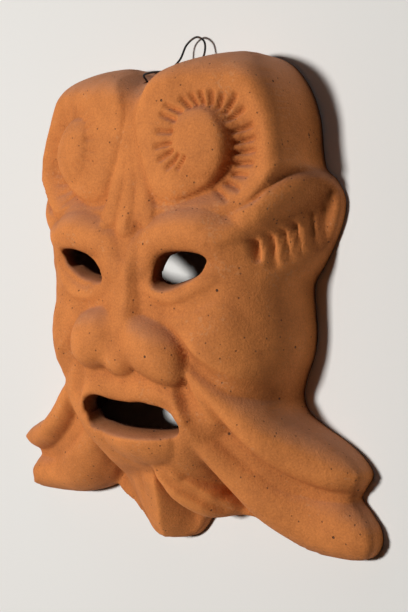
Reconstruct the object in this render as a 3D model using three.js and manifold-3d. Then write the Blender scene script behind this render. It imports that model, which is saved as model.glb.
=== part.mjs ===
// A terracotta wall mask of a horned, bearded satyr, pressed in a mould: one hollow shell of fired clay
// with open eyes and mouth, and the iron wire that it hangs by.
// Millimetres. The mask lies face up on its flat rim: X is the viewer's right, Y runs up the face,
// Z comes out of the face. The origin is the middle of its outline, on the rim's plane.
import * as THREE from "three";
import { mergeVertices } from "three/addons/utils/BufferGeometryUtils.js";
import Module from "manifold-3d";

const wasm = await Module();
wasm.setup();

// Shell
const WALL = 8.5;
const RIM_WIDTH = 9;
const HOLLOW_SLOPE = 4;
const HOLLOW_FLOOR = 20;
const EDGE_ROUND = 8;
const EDGE_SHARE = 0.58;
const FRONT_CELL = 4.2;
const HOLLOW_CELL = 8;
const BLOCK = { width: 216, bottom: -122, top: 112 };
const BOX_TOP = 4;

// The right half of the rim's outline, from the dip between the horns down to the beard's tip.
const RIM = [
  [0, 97.5], [12, 98.5], [23, 102], [33, 104.5], [43, 104.5], [54, 99.5], [63, 89], [68.5, 76],
  [70.5, 62], [72.5, 53.5], [78, 48.5], [82.3, 41], [82.6, 33], [79.5, 23], [73.5, 12], [68, 3],
  [68.5, -8], [70, -18], [69, -28], [65.5, -38], [64, -46], [67.5, -53], [76, -58.5], [87, -64],
  [96, -70], [101, -76.5], [98.5, -82.5], [97, -87.5], [100.5, -92.5], [105.5, -99], [106, -106],
  [101, -111], [90, -112.5], [76, -111.5], [62, -108.5], [50, -104.5], [40, -101.5], [33, -102],
  [26, -104.5], [18, -104.5], [13.5, -107.5], [9.5, -114], [0, -118.5],
];
const RIM_STEPS = 2;
// The left moustache is shallower than the right one: it is squeezed towards this level.
const SQUEEZE = { level: -94, factor: 1.28, from: 35, to: 80, above: -50, below: -70 };

// The bare face along the middle line and its half width, against Y.
const FACE_HEIGHT = [
  [-119, 5], [-110, 10], [-100, 18], [-90, 28], [-80, 37], [-70, 44.5], [-60, 46], [-45, 47.5],
  [-20, 49.5], [0, 50], [25, 49], [50, 47.5], [65, 48], [75, 47.5], [84, 44], [90, 37.5], [94, 31.5], [98, 25], [110, 12],
];
const FACE_HALF_WIDTH = [
  [-119, 16], [-110, 24], [-100, 32], [-90, 34], [-80, 36], [-70, 44], [-60, 54], [-48, 62],
  [-30, 68], [0, 69], [40, 70], [80, 70], [110, 62],
];

// A roll of clay is a row of stations: x, y, half width on its left, half width on its right, height.
const BROW = [
  [7, 9, 7, 7, 2], [14, 19.5, 9, 8, 4.5], [27, 24.5, 9.5, 10, 5.5], [40, 24.5, 9.5, 10.5, 5.5],
  [51, 20.5, 9, 10, 3.5], [59, 14, 8, 8, 0.5],
];
const LOWER_LID = [[11, 2, 4, 4, 0.8], [20, -3, 4, 4, 2.2], [30, -2, 4, 4, 2.2], [40, 2.5, 4, 4, 1.8], [50, 9, 4, 4, 0.5]];
const LID_CREASE = [[13, -4, 4, 4, 0.6], [22, -8.5, 4, 4, 1.5], [33, -8, 4, 4, 1.5], [46, -2, 4, 4, 0.8], [56, 4, 4, 4, 0]];
const CHEEK = [[36, -14, 14, 14, 1], [46, -22, 17, 17, 3.5], [54, -34, 11, 11, 3]];
const NOSE_BRIDGE = [[0, 22, 13, 13, 3], [0, 10, 13, 13, 5.5], [0, -4, 15, 15, 7.5], [0, -14, 17, 17, 8], [0, -24, 14, 14, 6]];
const NOSE_BULB = { x: 15.5, y: -26, rx: 16.5, ry: 15.5, base: 45, rise: 14 };
const NOSE_SEPTUM = { x: 0, y: -30, rx: 9.5, ry: 10, base: 46, rise: 9 };
const MOUTH_GROOVE = [[31, -28, 3, 3, 0.5], [29.5, -38, 5, 3.5, 3.5], [32, -47, 6, 4, 4], [37, -56, 6, 5, 2.5], [42, -66, 6, 5, 0.5]];
const LOWER_LIP = [[0, -69.5, 5, 9, 4.5], [12, -70, 5, 8, 4.5], [22, -68, 4, 6, 3], [30, -61, 3.5, 5, 1.5]];
const UPPER_LIP = [[0, -46, 5, 5, 0.8], [14, -44.5, 6, 6, 1.6], [25, -48, 4, 4, 1.4], [31, -56, 3.5, 3.5, 1]];
const CHIN_CREASE = [[0, -82.5, 5, 6, 1.5], [10, -81, 5, 6, 1.5], [22, -75, 4, 5, 1]];
const MOUSTACHE_UPPER = [
  [29.5, -27, 6, 5, 46], [35.5, -36.5, 9, 6.5, 47], [44, -45.5, 12, 9, 45.5], [55, -56.5, 15, 11.5, 41],
  [68, -67.5, 17, 13, 33], [82, -74, 17, 12, 24], [97, -77.5, 14, 9.5, 15],
];
const MOUSTACHE_LOWER = [
  [26, -58, 14, 12, 43], [36, -68, 16, 13, 40], [46, -79, 18, 15, 33.5], [58, -90, 20, 16, 26.5],
  [73, -97, 20, 17, 20.5], [89, -100.5, 18, 16, 16.5], [104, -103.5, 15, 13, 12.5],
];
const MOUSTACHE_ROOT = [
  [26, -40, 20, 20, 40], [40, -58, 26, 22, 37], [56, -74, 30, 26, 28], [76, -86, 32, 28, 17], [100, -90, 34, 34, 8],
];
const BEARD_TUFT = [[-2, -84, 10, 22, 37], [-3, -96, 14, 24, 31], [-2, -107, 15, 22, 25.5], [0, -114, 13, 17, 19]];
const BEARD_INNER_LOCK = [
  [2, -84, 6, 6, 37], [9, -92, 6.5, 5.5, 32], [17, -96.5, 6.5, 5.5, 27], [26, -99, 6, 5.5, 21], [34, -100.5, 5, 4.5, 14],
];
const BEARD_OUTER_LOCK = [[12, -79, 6, 6, 36], [22, -86, 6, 6, 31], [30, -92, 6, 5.5, 25], [38, -98, 6, 5, 17]];
const LEFT_LOCK_SHARE = 0.93;

// The leaf of three lobes between the horns.
const LEAF_MIDDLE = [[0, 28, 6, 6, 5.5], [0, 44, 4, 4, 5.2], [0, 57, 2.8, 2.8, 4.5], [0, 70, 2, 2, 3], [0, 82, 1.5, 1.5, 1]];
const LEAF_SIDE = [
  [10.8, 32.5, 6.4, 6.4, 5], [8.4, 44, 4.8, 4.8, 5], [5.2, 56, 3.8, 3.8, 4.2], [2.6, 68, 2.8, 2.8, 2.6], [1, 80, 2, 2, 1],
];

// The ear: a slope that falls outwards, a rolled upper edge and seven cuts, each from top to bottom.
const EAR = { x: 59, height: 38.5, fall: 1.12 };
const EAR_ROLL = [
  [54, 21.5, 4, 4.5, 1], [62, 26, 5, 5, 3.5], [68, 33, 5, 4.5, 5.5], [72.5, 40, 5, 4.5, 7],
  [75, 45.5, 5, 4.5, 6], [78, 47, 4.5, 4.5, 4],
];
const EAR_CUTS = [
  [59.2, 20.9, 60.9, 15.9], [62.8, 23.5, 66.5, 9.8], [66.3, 27.1, 71, 11.3], [69.2, 29.4, 73.2, 14.4],
  [72.6, 33.6, 76.4, 17.4], [76.2, 35.4, 79.4, 22.2], [79.6, 36, 81.6, 26.5],
];
const EAR_CUT = { halfWidth: 1.4, depth: 3.4 };

// The horn: a ram's scroll that falls outwards, its inner coil raised over the outer one.
const HORN = { x: 39, y: 64.5, height: 46.3, fallX: 0.28, fallY: 0.02, soften: 50.5, boss: 2.6, bossRadius: 15 };
// Radius of the inner coil's edge and height of its step, against degrees clockwise from the viewer's right.
const COIL_EDGE = [
  [-90, 12.5], [-45, 13.2], [0, 13.5], [30, 14.8], [50, 17.5], [70, 22.5], [95, 26.5], [120, 32], [133, 38], [150, 44], [270, 60],
];
const COIL_STEP = [[-90, 0], [-60, 2.5], [-30, 4.6], [0, 5.6], [40, 6.2], [70, 7], [133, 7], [150, 4], [180, 0], [270, 0]];
const HORN_FOOT = [[0, 34], [17, 34.5], [30, 35.5], [42, 36.5], [52, 33], [60, 37], [66, 44], [70, 51], [74, 56]];
const HORN_INNER_EDGE = [
  [18, 33], [12.5, 45], [9, 54], [6.3, 63], [4.6, 70], [4.3, 76], [6, 82], [9, 87.5], [12.5, 92.5], [15, 97], [17, 103],
];
const HORN_INNER_ROUND = [[33, 5], [50, 6], [66, 8], [80, 13], [104, 15]];
const HORN_INNER_FALL = [[40, 1.5], [60, 1.2], [78, 0.9], [86, 1.2], [94, 2.4], [104, 2.6]];
const HORN_INNER_DROP = 3.6;
const HORN_CROWN = { from: 83, over: 22, drop: 25, power: 2.8 };
const FLUTES = { count: 17, first: -57, turn: 16.4, inner: 15.2, outer: 27, halfWidth: 1.7, depth: 2.4 };

// Openings
const EYE = [
  [15.2, 3.2], [17.6, 0.6], [21.5, 0.2], [28.8, 2.2], [36, 5.2], [42.5, 9.4], [45.2, 13.9], [42.5, 16],
  [35.5, 16.5], [26.5, 15.4], [18.8, 11], [15.8, 6.6],
];
const MOUTH = [
  [0, -51.2], [9, -50], [16.5, -50], [23, -51.2], [27.4, -54.2], [29.2, -58.5], [27.5, -63], [22, -65.3], [12, -66.4], [0, -66.6],
];
const WIRE_HOLE = { x: 5.5, y: 93.5, z: 31, lean: 40, radius: 1.8, length: 44, sides: 12 };
const OPENING_STEPS = 2;
const ABOVE_ALL = 90;

// Wire: half of the hoop, from its crown beyond the head to the end bent over inside the shell.
const WIRE_RADIUS = 0.5;
const WIRE = [
  [0, 118, 4], [5.5, 114.8, 4.6], [8.6, 108.5, 7.5], [8.4, 102.5, 15.5], [6.8, 99, 27], [5.7, 96.4, 33.8],
  [5.5, 94, 32], [5.5, 90, 26.8], [5.5, 85.5, 21.4], [5.8, 82, 17.4], [8, 79.8, 15.8], [12, 79.4, 16.6],
];
const WIRE_SIDES = 8;
const WIRE_STEPS = 44;

const smooth = (from, to, value) => THREE.MathUtils.smoothstep(value, Math.min(from, to), Math.max(from, to));
const clamp = THREE.MathUtils.clamp;

// A smooth curve through rows of (position, value), flat beyond both ends.
function table(rows) {
  const slopes = rows.map((row, k) => {
    const before = rows[Math.max(k - 1, 0)];
    const after = rows[Math.min(k + 1, rows.length - 1)];
    return (after[1] - before[1]) / (after[0] - before[0]);
  });
  return (position) => {
    const t = clamp(position, rows[0][0], rows.at(-1)[0]);
    let k = rows.findLastIndex((row) => row[0] <= t);
    k = Math.min(k, rows.length - 2);
    const span = rows[k + 1][0] - rows[k][0];
    const u = (t - rows[k][0]) / span;
    const bend = slopes[k] * (u ** 3 - 2 * u ** 2 + u) + slopes[k + 1] * (u ** 3 - u ** 2);
    return rows[k][1] * (2 * u ** 3 - 3 * u ** 2 + 1) + rows[k + 1][1] * (3 * u ** 2 - 2 * u ** 3) + span * bend;
  };
}

const curveThrough = (points, closed) => new THREE.CatmullRomCurve3(points, closed, "catmullrom", 0.5);

// Samples of a closed outline through rows of (x, y).
function closedOutline(rows, steps) {
  const curve = curveThrough(rows.map(([x, y]) => new THREE.Vector3(x, y, 0)), true);
  return curve.getPoints(rows.length * steps).slice(0, -1);
}

// A right half and its mirror image, as one closed row of points.
const mirrored = (rows) => [...rows, ...rows.slice(1, -1).reverse().map(([x, y]) => [-x, y])];

// Nearest place on a chain of points: the distance, the side (left is positive), the span and the share of it.
function nearest(chain, x, y, closed = false) {
  const best = { distance: Infinity, side: 0, span: 0, share: 0 };
  for (let k = 0; k + 1 < chain.length + (closed ? 1 : 0); k++) {
    const a = chain[k];
    const b = chain[(k + 1) % chain.length];
    const ex = b.x - a.x;
    const ey = b.y - a.y;
    const share = clamp(((x - a.x) * ex + (y - a.y) * ey) / (ex * ex + ey * ey), 0, 1);
    const dx = x - a.x - share * ex;
    const dy = y - a.y - share * ey;
    const distance = Math.hypot(dx, dy);
    if (distance < best.distance) Object.assign(best, { distance, side: Math.sign(ex * dy - ey * dx), span: k, share });
  }
  return best;
}

// Height of a roll of clay: full along its stations, falling to nothing at its half widths.
function roll(rows, power = 1) {
  const steps = 6 * (rows.length - 1);
  const places = curveThrough(rows.map(([x, y, , , height]) => new THREE.Vector3(x, y, height)), false).getPoints(steps);
  const widths = curveThrough(rows.map(([, , left, right]) => new THREE.Vector3(left, right, 0)), false).getPoints(steps);
  return (x, y) => {
    const { distance, side, span, share } = nearest(places, x, y);
    const height = THREE.MathUtils.lerp(places[span].z, places[span + 1].z, share);
    const axis = side > 0 ? "x" : "y";
    const halfWidth = THREE.MathUtils.lerp(widths[span][axis], widths[span + 1][axis], share);
    return height * (1 - Math.min(distance / halfWidth, 1) ** 2) ** power;
  };
}

// The higher of two surfaces, with their meeting filled over the given width.
function blend(a, b, width) {
  const share = Math.max(width - Math.abs(a - b), 0) / width;
  return Math.max(a, b) + (share * share * width) / 4;
}

// A round swelling that falls away steeply outside its ellipse.
function bulb({ x: cx, y: cy, rx, ry, base, rise }, x, y) {
  const q = ((x - cx) / rx) ** 2 + ((y - cy) / ry) ** 2;
  return q < 1 ? base + rise * Math.sqrt(1 - q) : base - 12 * (Math.sqrt(q) - 1) * rx;
}

const squeezeShare = (x, y) => smooth(SQUEEZE.from, SQUEEZE.to, -x) * (1 - smooth(SQUEEZE.below, SQUEEZE.above, y));
// Where a point of the mask lies on the mirrored right half.
const mirrorLevel = (x, y) => y + squeezeShare(x, y) * (SQUEEZE.factor - 1) * (y - SQUEEZE.level);
// The opposite: where a point of the mirrored right half lies on the mask.
function maskLevel(x, y) {
  let level = y;
  for (let k = 0; k < 12; k++) {
    const stretch = squeezeShare(x, level) * (SQUEEZE.factor - 1);
    level = (y + stretch * SQUEEZE.level) / (1 + stretch);
  }
  return level;
}

const faceHeight = table(FACE_HEIGHT);
const faceHalfWidth = table(FACE_HALF_WIDTH);
const bareFace = (x, y) => faceHeight(y) * (1 - 0.5 * Math.min(x / faceHalfWidth(y), 1.3) ** 4);

const coilEdge = table(COIL_EDGE);
const coilStep = table(COIL_STEP);
const hornFoot = table(HORN_FOOT);
const hornInnerRound = table(HORN_INNER_ROUND);
const hornInnerFall = table(HORN_INNER_FALL);
const hornInnerEdge = curveThrough(HORN_INNER_EDGE.map(([x, y]) => new THREE.Vector3(x, y, 0)), false)
  .getPoints(4 * (HORN_INNER_EDGE.length - 1));

// The ram's horn: a leaning face, its coil's step, and its rounded inner edge, crown and foot.
function horn(x, y) {
  const dx = x - HORN.x;
  const dy = y - HORN.y;
  const radius = Math.hypot(dx, dy);
  let clockwise = -THREE.MathUtils.radToDeg(Math.atan2(dy, dx));
  if (clockwise < -90) clockwise += 360;
  let height = HORN.height - HORN.fallX * dx - HORN.fallY * dy;
  height -= 0.5 * Math.max(height - HORN.soften, 0);
  height += HORN.boss * Math.max(1 - (radius / HORN.bossRadius) ** 2, 0);
  const past = radius - coilEdge(clockwise);
  height -= coilStep(clockwise) * smooth(-0.9, 1.1, past) * (1 - 0.85 * smooth(16, 30, radius));
  height -= 2.2 * Math.max(hornFoot(x) + 1 - y, 0) ** 1.2;
  const inner = nearest(hornInnerEdge, x, y);
  const inside = inner.side < 0 ? inner.distance : -inner.distance;
  const q = clamp(1 - inside / hornInnerRound(y), 0, 1);
  height -= HORN_INNER_DROP * (1 - Math.sqrt(1 - q * q)) + hornInnerFall(y) * Math.max(-inside, 0);
  height -= HORN_CROWN.drop * clamp((y - HORN_CROWN.from) / HORN_CROWN.over, 0, 1.2) ** HORN_CROWN.power;
  return height;
}

const rolls = {
  brow: roll(BROW),
  lowerLid: roll(LOWER_LID),
  lidCrease: roll(LID_CREASE),
  cheek: roll(CHEEK),
  noseBridge: roll(NOSE_BRIDGE, 2),
  mouthGroove: roll(MOUTH_GROOVE),
  lowerLip: roll(LOWER_LIP),
  upperLip: roll(UPPER_LIP),
  chinCrease: roll(CHIN_CREASE),
  moustacheUpper: roll(MOUSTACHE_UPPER, 0.5),
  moustacheLower: roll(MOUSTACHE_LOWER, 0.6),
  moustacheRoot: roll(MOUSTACHE_ROOT, 0.3),
  beardTuft: roll(BEARD_TUFT, 0.9),
  beardInnerLock: roll(BEARD_INNER_LOCK, 0.6),
  beardOuterLock: roll(BEARD_OUTER_LOCK, 0.6),
  leafMiddle: roll(LEAF_MIDDLE, 0.5),
  leafSide: roll(LEAF_SIDE, 0.5),
  earRoll: roll(EAR_ROLL),
};

// The face's front before its edge is rounded. Only the beard's tuft and the left moustache break the symmetry.
function front(maskX, maskY) {
  const x = Math.abs(maskX);
  const y = mirrorLevel(maskX, maskY);
  let z = bareFace(x, y);
  const earShare = smooth(57, 63, x) * (1 - smooth(46, 52, y)) * smooth(-6, 8, y);
  z += earShare * (Math.min(EAR.height - EAR.fall * (x - EAR.x), z) - z);
  z += rolls.earRoll(x, y) + rolls.brow(x, y) + Math.max(rolls.leafMiddle(x, y), rolls.leafSide(x, y));
  z = blend(z, horn(x, y), 2.5);
  z += rolls.lowerLid(x, y) - rolls.lidCrease(x, y) + rolls.cheek(x, y) + rolls.noseBridge(x, y);
  z = blend(z, bulb(NOSE_SEPTUM, x, y), 3);
  z = blend(z, bulb(NOSE_BULB, x, y), 3);
  z += rolls.lowerLip(x, y) + rolls.upperLip(x, y) - rolls.mouthGroove(x, y) - rolls.chinCrease(x, y);
  const lobes = blend(rolls.moustacheUpper(x, y), rolls.moustacheLower(x, y), 0.8);
  z = blend(z, Math.max(lobes, rolls.moustacheRoot(x, y)), 2);
  const lockShare = maskX < 0 ? LEFT_LOCK_SHARE : 1;
  z = blend(z, lockShare * rolls.beardOuterLock(x, y), 1.5);
  z = blend(z, lockShare * rolls.beardInnerLock(x, y), 1.5);
  return blend(z, rolls.beardTuft(maskX, y), 1.5);
}

const rim = closedOutline(
  mirrored(RIM).map(([x, y], k) => [x, k < RIM.length ? y : maskLevel(x, y)]),
  RIM_STEPS,
);

function insideRim(x, y) {
  let inside = false;
  rim.forEach((a, k) => {
    const b = rim[(k + 1) % rim.length];
    if (a.y > y !== b.y > y && x < a.x + ((y - a.y) / (b.y - a.y)) * (b.x - a.x)) inside = !inside;
  });
  return inside;
}

// Distance from the rim's outline, positive inside it.
const depthInside = (x, y) => nearest(rim, x, y, true).distance * (insideRim(x, y) ? 1 : -1);

// The front, standing upright at the rim for a share of its height and rounded over above that.
function frontHeight(x, y) {
  const u = clamp(1 - depthInside(x, y) / EDGE_ROUND, 0, 1);
  return front(x, y) * (EDGE_SHARE + (1 - EDGE_SHARE) * (1 - u ** 2.7) ** (1 / 2.7));
}

// The roof of the hollow: a wall's thickness under the front, sloping down to the rim's inner edge.
function hollowHeight(x, y) {
  const past = depthInside(x, y) - RIM_WIDTH;
  return Math.max(Math.min(front(x, y) - WALL, HOLLOW_SLOPE * past), -HOLLOW_FLOOR);
}

function solid(geometry) {
  geometry.deleteAttribute("normal");
  geometry.deleteAttribute("uv");
  const merged = mergeVertices(geometry);
  const vertProperties = new Float32Array(merged.attributes.position.array);
  const triVerts = new Uint32Array(merged.index.array);
  return new wasm.Manifold(new wasm.Mesh({ numProp: 3, vertProperties, triVerts }));
}

function geometryOf(manifold) {
  const { vertProperties, triVerts } = manifold.getMesh();
  const geometry = new THREE.BufferGeometry();
  geometry.setAttribute("position", new THREE.BufferAttribute(vertProperties, 3));
  geometry.setIndex(new THREE.BufferAttribute(triVerts, 1));
  const facets = geometry.toNonIndexed();
  facets.computeVertexNormals();
  return facets;
}

// A flat-bottomed block in square cells whose top follows a height.
// Each cell of the top folds along the diagonal that lies nearer to that height in the cell's middle.
function block(cell, bottom, height) {
  const length = BLOCK.top - BLOCK.bottom;
  const across = Math.round(BLOCK.width / cell);
  const along = Math.round(length / cell);
  const geometry = new THREE.BoxGeometry(BLOCK.width, length, 2, across, along, 1);
  geometry.translate(0, (BLOCK.top + BLOCK.bottom) / 2, 0);
  const place = geometry.attributes.position;
  for (let k = 0; k < place.count; k++) {
    place.setZ(k, place.getZ(k) > 0 ? Math.max(height(place.getX(k), place.getY(k)), bottom + 0.4) : bottom);
  }
  const top = geometry.groups[BOX_TOP];
  for (let k = top.start; k < top.start + top.count; k += 6) {
    const [a, b, d, , c] = geometry.index.array.slice(k, k + 6);
    const middle = height((place.getX(b) + place.getX(d)) / 2, (place.getY(b) + place.getY(d)) / 2);
    const misses = [[b, d], [a, c]].map(([p, q]) => Math.abs((place.getZ(p) + place.getZ(q)) / 2 - middle));
    if (misses[1] < misses[0]) geometry.index.array.set([a, b, c, a, c, d], k);
  }
  return solid(geometry);
}

// An upright prism on an outline.
function prism(points, bottom, top) {
  const shape = new THREE.Shape(points.map((p) => new THREE.Vector2(p.x, p.y)));
  const geometry = new THREE.ExtrudeGeometry(shape, { depth: top - bottom, bevelEnabled: false });
  return solid(geometry.translate(0, 0, bottom));
}

// A cut with a V section, pointed at both ends, laid between two points and sunk into the front.
function vCut(ax, ay, bx, by, { halfWidth, depth }) {
  const from = new THREE.Vector3(ax, ay, frontHeight(ax, ay));
  const to = new THREE.Vector3(bx, by, frontHeight(bx, by));
  const middle = from.clone().lerp(to, 0.5);
  const along = to.clone().sub(from);
  const length = along.length();
  along.normalize();
  const up = new THREE.Vector3(0, 0, 1).addScaledVector(along, -along.z).normalize();
  const geometry = new THREE.OctahedronGeometry(1);
  geometry.scale(halfWidth, length / 2, depth);
  geometry.applyMatrix4(new THREE.Matrix4().makeBasis(along.clone().cross(up), along, up));
  return solid(geometry.translate(middle.x, middle.y, middle.z));
}

// The round hole of the wire, bored backwards and towards the chin.
function wireBore(side) {
  const geometry = new THREE.CylinderGeometry(WIRE_HOLE.radius, WIRE_HOLE.radius, WIRE_HOLE.length, WIRE_HOLE.sides);
  geometry.rotateX(Math.PI / 2 - THREE.MathUtils.degToRad(WIRE_HOLE.lean));
  return solid(geometry.translate(side * WIRE_HOLE.x, WIRE_HOLE.y, WIRE_HOLE.z));
}

function terracottaMask() {
  let mask = block(FRONT_CELL, -2, frontHeight).intersect(prism(rim, 0, ABOVE_ALL));
  mask = mask.subtract(block(HOLLOW_CELL, -2 * HOLLOW_FLOOR, hollowHeight));
  mask = mask.subtract(prism(closedOutline(mirrored(MOUTH), OPENING_STEPS), -1, ABOVE_ALL));
  for (const side of [1, -1]) {
    const eye = closedOutline(EYE.map(([x, y]) => [side * x, y]), OPENING_STEPS);
    mask = mask.subtract(prism(eye, -1, ABOVE_ALL)).subtract(wireBore(side));
    for (const [ax, ay, bx, by] of EAR_CUTS) mask = mask.subtract(vCut(side * ax, ay, side * bx, by, EAR_CUT));
    for (let k = 0; k < FLUTES.count; k++) {
      const turn = THREE.MathUtils.degToRad(FLUTES.first + k * FLUTES.turn);
      const [near, far] = [FLUTES.inner, FLUTES.outer].map((radius) => [
        side * (HORN.x + radius * Math.cos(turn)),
        HORN.y + radius * Math.sin(turn),
      ]);
      mask = mask.subtract(vCut(...near, ...far, FLUTES));
    }
  }
  return geometryOf(mask);
}

// The hoop of wire, its two ends through the bores and bent outwards inside the hollow.
function hangingWire() {
  const right = WIRE.map(([x, y, z]) => new THREE.Vector3(x, y, z));
  const left = WIRE.slice(1).reverse().map(([x, y, z]) => new THREE.Vector3(-x, y, z));
  const extrudePath = new THREE.CatmullRomCurve3([...left, ...right], false, "centripetal");
  const section = new THREE.Shape();
  section.absarc(0, 0, WIRE_RADIUS, 0, 2 * Math.PI, false);
  const settings = { steps: WIRE_STEPS, curveSegments: WIRE_SIDES / 2, bevelEnabled: false, extrudePath };
  return geometryOf(solid(new THREE.ExtrudeGeometry(section, settings)));
}

function piece(name, geometry, color, roughness, metalness) {
  const mesh = new THREE.Mesh(geometry, new THREE.MeshStandardMaterial({ color, roughness, metalness }));
  mesh.name = name;
  return mesh;
}

const part = new THREE.Group();
part.add(piece("mask", terracottaMask(), 0xb4703f, 0.88, 0));
part.add(piece("hanging_wire", hangingWire(), 0x3c332d, 0.55, 0.8));
export default part;
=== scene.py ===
"""A terracotta wall mask of a horned, bearded satyr, pressed in a mould, with the wire hoop that it hangs by.

The clay's front is a height over the plane of the flat rim, worked out in millimetres from named sizes.
Across the mask is X, up the face is Y, out of the face is Z. The mask lies on its rim.
"""
import math

import bpy
import numpy as np
from mathutils import Matrix, Vector


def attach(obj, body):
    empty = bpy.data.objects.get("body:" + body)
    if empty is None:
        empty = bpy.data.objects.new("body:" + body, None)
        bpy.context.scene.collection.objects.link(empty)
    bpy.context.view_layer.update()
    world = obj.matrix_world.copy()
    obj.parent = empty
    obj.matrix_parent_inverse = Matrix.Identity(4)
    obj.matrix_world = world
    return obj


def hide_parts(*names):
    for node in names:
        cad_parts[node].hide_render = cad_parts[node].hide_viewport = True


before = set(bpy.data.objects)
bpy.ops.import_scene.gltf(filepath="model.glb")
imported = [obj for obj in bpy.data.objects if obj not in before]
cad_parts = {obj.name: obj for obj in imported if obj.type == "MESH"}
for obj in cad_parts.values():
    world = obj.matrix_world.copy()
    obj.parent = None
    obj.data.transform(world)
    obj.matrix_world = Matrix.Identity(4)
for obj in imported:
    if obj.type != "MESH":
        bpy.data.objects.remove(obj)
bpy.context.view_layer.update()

MM = 0.001

# Shell: the wall and its least thickness, the flat rim, and how steeply the hollow leaves the rim.
WALL = 8.5
THINNEST_WALL = 3
RIM_WIDTH = 9
HOLLOW_SLOPE = 4
HOLLOW_FILLET = 8
# The hollow lies a wall below the smoothed front, or below the true front raised by this where that is lower.
HOLLOW_RISE = 2.5
# The outer edge is upright up to a share of the front's height, then rounded over as a superellipse.
EDGE_ROUND = 8
EDGE_SHARE = 0.58
EDGE_POWER = 2.7

# The right half of the rim's outline, from the dip between the horns down to the beard's tip.
RIM = (
    (0, 97.5), (12, 98.5), (23, 102.3), (33, 105), (43, 104.8), (54, 99.5), (63, 89), (68.5, 76),
    (70.5, 62), (72.5, 53.5), (78, 48.5), (82.3, 41), (82.2, 33), (78.8, 23), (73.2, 12), (68, 3),
    (68.5, -8), (69.6, -18), (68.6, -28), (65, -38), (63.5, -46), (66.5, -53), (75, -58.5), (86, -64),
    (95, -70), (99.8, -76.5), (97, -82.5), (94.6, -87.5), (99, -92.5), (104.2, -99), (105, -106),
    (100.5, -111.8), (90, -113.6), (75, -113), (61, -110.3), (49, -106.3), (40, -102.8), (33, -103),
    (26, -104.5), (19, -104.5), (14, -107), (10.5, -112), (6.5, -116), (1, -118.3),
)
# Its left half below the moustache's tip, from the beard's tip up and out.
RIM_LEFT_BEARD = (
    (-7, -118.7), (-15, -116.9), (-22, -113.8), (-27.5, -110.2), (-32.3, -106.2), (-37, -104),
    (-41, -101.7), (-45.2, -99), (-53, -102), (-63.5, -105.2), (-75, -106.6), (-89, -107.4), (-97, -107.2),
    (-102, -105.3),
)
# Above that, the left half repeats this many points of the right one.
RIM_REPEATED = 30
RIM_STEPS = 6
# The left moustache is shallower than the right one: it is squeezed towards this level.
SQUEEZE = dict(level=-94, factor=1.28, lower_factor=1.5, across=(35, 80), up=(-70, -50))
# How much further out the left side reaches than the right one, against Y, and where across it that sets in.
LEFT_REACH = (
    (-118, -2), (-104, -4.5), (-98, -3.5), (-91, 1), (-84, 5), (-76, 5), (-68, 3), (-60, 0), (-52, -3),
    (-45, -5), (-38, -6), (-30, -4.5), (-20, -2.5), (-12, -1), (-2, -2), (4, -2.3), (12, 0.5), (25, 0),
    (32, 0), (42, -1.3), (47, -1), (55, 1.5), (62, 2.2), (72, 0), (85, -1.8), (100, 0),
)
LEFT_REACH_SPAN = (35, 75)
# The place on the left that repeats one on the right is found in steps, each over this share of the gap.
RETURN_STEPS = 24
RETURN_SHARE = 0.7

# The bare face along the middle line and its half width, against Y.
FACE_HEIGHT = (
    (-119, 2), (-110, 5), (-100, 11), (-92, 19), (-86, 28.5), (-80, 37), (-70, 44.5), (-60, 46),
    (-45, 47.5), (-20, 49.5), (0, 50), (25, 49), (50, 47.5), (65, 48), (75, 47.5), (84, 44), (90, 37.5),
    (94, 31.5), (98, 25), (110, 12),
)
FACE_HALF_WIDTH = (
    (-119, 16), (-110, 24), (-100, 32), (-90, 34), (-80, 36), (-70, 44), (-60, 54), (-48, 62), (-30, 68),
    (0, 69), (40, 70), (80, 70), (110, 62),
)
# At its half width the bare face is lower by a share, reached along a power of the distance from the middle.
FACE_FALL = 0.5
FACE_FALL_POWER, FACE_FALL_POWER_LEFT = 5, 4
FACE_FALL_END = 1.3
# How much lower it is beneath the horn and the coil's outer turn, and where that sets in across and up it.
UNDER_HORN = dict(drop=5, across=(10, 20), up=(33, 42))
UNDER_COIL = dict(drop=8, across=(36, 50), up=(36, 46))
# The ear's corner, where it isn't lowered.
EAR_CORNER = dict(across=(58, 66), up=(50, 56))

# A roll of clay is a row of stations: x, y, half width on its left, half width on its right, height.
# Across, it is height (1 - u^bend)^power, which is a parabola where neither is named.
ROLL_STEPS = 6
HALF_ROUND = 0.5
BELL = 2
BROW = (
    (7, 9, 7, 7, 2), (14, 19.5, 9, 8, 4.5), (27, 24.5, 9.5, 10, 5.5), (40, 24.5, 9.5, 10.5, 5.5),
    (51, 20.5, 9, 10, 3.5), (59, 14, 8, 8, 0.5),
)
LOWER_LID = (
    (11, 2, 4, 4, 0.5), (20, -3.5, 4, 4, 1.3), (30, -2.5, 4, 4, 1.4), (40, 2, 4, 4, 1.2),
    (50, 9, 4, 4, 0.3),
)
LID_CREASE = (
    (13, -4.5, 4, 4, 0.4), (22, -9, 4, 4, 0.9), (33, -8.5, 4, 4, 0.9), (46, -2.5, 4, 4, 0.5),
    (56, 4, 4, 4, 0),
)
CHEEK = ((36, -14, 14, 14, 1), (46, -22, 17, 17, 3.5), (54, -34, 11, 11, 3))
CHEEK_FOLD = (
    (20, -15, 3, 4, 0), (26, -19.8, 4, 6, 2.2), (32, -25.2, 4.5, 7, 3.6), (38, -30.6, 4.5, 8, 4.2),
    (44.5, -35.6, 5, 8, 3.8), (52, -39.8, 5, 8, 3), (62, -42.5, 5, 7, 1.5), (70, -43, 4, 5, 0),
)
CHEEK_FOLD_BEND = 1.3
NOSE_BRIDGE = (
    (3, 22, 7, 15, 2), (3.5, 10, 6.5, 16, 3.2), (3.5, -4, 6.5, 18, 4.2), (2, -14, 11, 18, 5.5),
    (0, -24, 14, 14, 5),
)
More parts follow.
